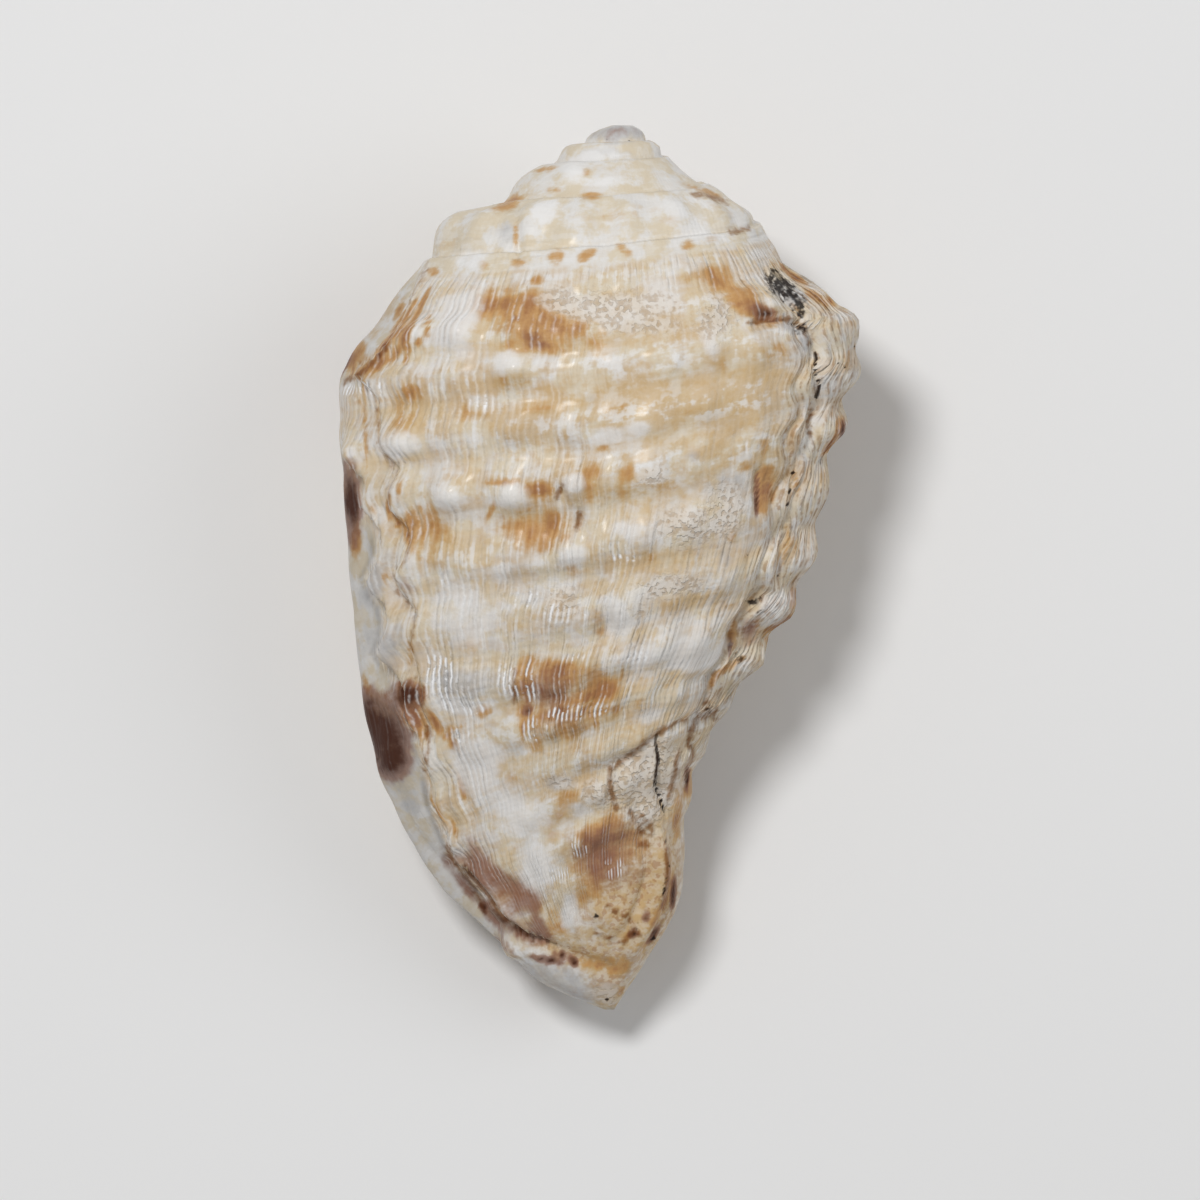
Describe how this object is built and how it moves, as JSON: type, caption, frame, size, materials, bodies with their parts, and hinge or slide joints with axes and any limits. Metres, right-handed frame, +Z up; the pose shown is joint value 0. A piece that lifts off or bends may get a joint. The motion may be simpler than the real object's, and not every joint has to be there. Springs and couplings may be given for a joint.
{
  "type": "morum shell",
  "caption": "A thick cream and tan morum sea shell with nodular spiral cords, an old lip scar and a narrow toothed aperture, lying aperture down.",
  "frame": {"origin": "centre of the bounding box in plan, on the surface that the shell lies on", "axes": "+Y along the shell's length from the canal to the apex, +Z up through its back, +X to the side of the old lip scar"},
  "size_m": [0.0306, 0.052, 0.0226],
  "materials": {
    "shell": "glossy"
  },
  "bodies": {
    "root": {"shell": "shell"}
  },
  "joints": []
}
